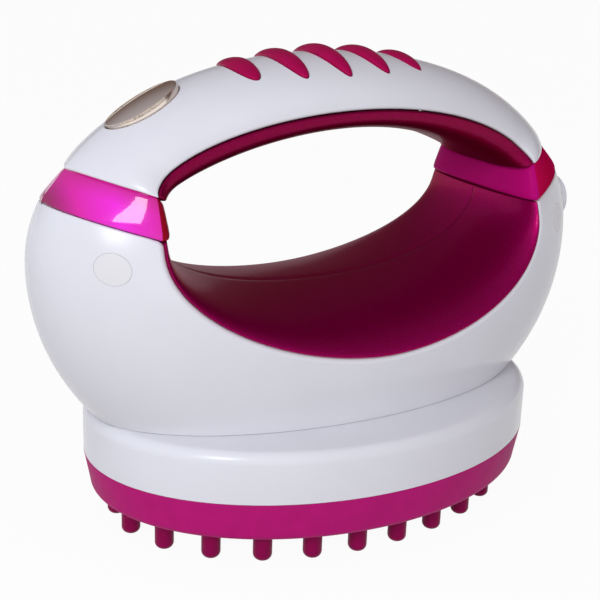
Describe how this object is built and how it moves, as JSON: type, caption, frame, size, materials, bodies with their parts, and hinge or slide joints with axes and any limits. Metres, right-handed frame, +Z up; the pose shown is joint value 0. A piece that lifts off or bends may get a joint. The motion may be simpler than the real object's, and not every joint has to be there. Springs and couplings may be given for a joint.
{
  "type": "anti-cellulite massager",
  "caption": "Egg-shaped hand-held vibrating massager with an arched handle, light bands, a chrome button and an oval pad of rubber nubs.",
  "frame": {"origin": "under the middle of the oval head, on the surface the nubs stand on", "axes": "+X along the handle towards the power inlet, +Y to the rear, +Z up"},
  "size_m": [0.1642, 0.0964, 0.1262],
  "materials": {
    "white_plastic": "glossy",
    "dark_magenta_plastic": "glossy metallic",
    "translucent_magenta": "translucent",
    "magenta_ridge": "satin",
    "magenta_rubber": "matte",
    "chrome": "polished",
    "frame_plastic": "matte",
    "steel": "satin",
    "brass_weight": "machined",
    "circuit_board": "matte",
    "black_plastic": "matte",
    "clear_led": "clear"
  },
  "bodies": {
    "casing": {"front_body_shell": "white_plastic", "rear_body_shell": "white_plastic", "front_palm_liner": "dark_magenta_plastic", "rear_palm_liner": "dark_magenta_plastic", "handle_shell": "white_plastic", "handle_liner": "dark_magenta_plastic", "handle_frame": "frame_plastic", "handle_screws": "steel", "left_light_band": "translucent_magenta", "right_light_band": "translucent_magenta", "left_light_board": "circuit_board", "right_light_board": "circuit_board", "band_leds": "clear_led", "grip_ridges": "magenta_ridge", "tact_switch": "steel", "button_board": "circuit_board", "head_housing": "white_plastic", "massage_pad": "magenta_rubber", "massage_nubs": "magenta_rubber", "pad_backing_plate": "frame_plastic", "pad_screws": "steel", "head_screws": "steel", "casing_screws": "steel", "screw_covers": "white_plastic", "motor_cradle": "frame_plastic", "motor_clamp": "steel", "clamp_screws": "steel", "motor": "steel", "control_board": "circuit_board", "board_components": "black_plastic", "board_screws": "steel", "inlet_collar": "white_plastic", "power_socket": "black_plastic", "socket_pin": "steel"},
    "button": {"power_button": "chrome", "switch_plunger": "black_plastic"},
    "rotor": {"motor_shaft": "steel", "eccentric_weights": "brass_weight"}
  },
  "joints": [
    {"name": "button_press", "type": "slide", "parent": "casing", "child": "button", "axis": [0.4939, 0, -0.8695], "range_m": [0, 0.001], "stiffness_N_per_m": 1500, "springref_m": -0.0005},
    {"name": "rotor_spin", "type": "hinge", "parent": "casing", "child": "rotor", "pos_m": [0, 0, 0.0475], "axis": [1, 0, 0], "continuous": true}
  ]
}
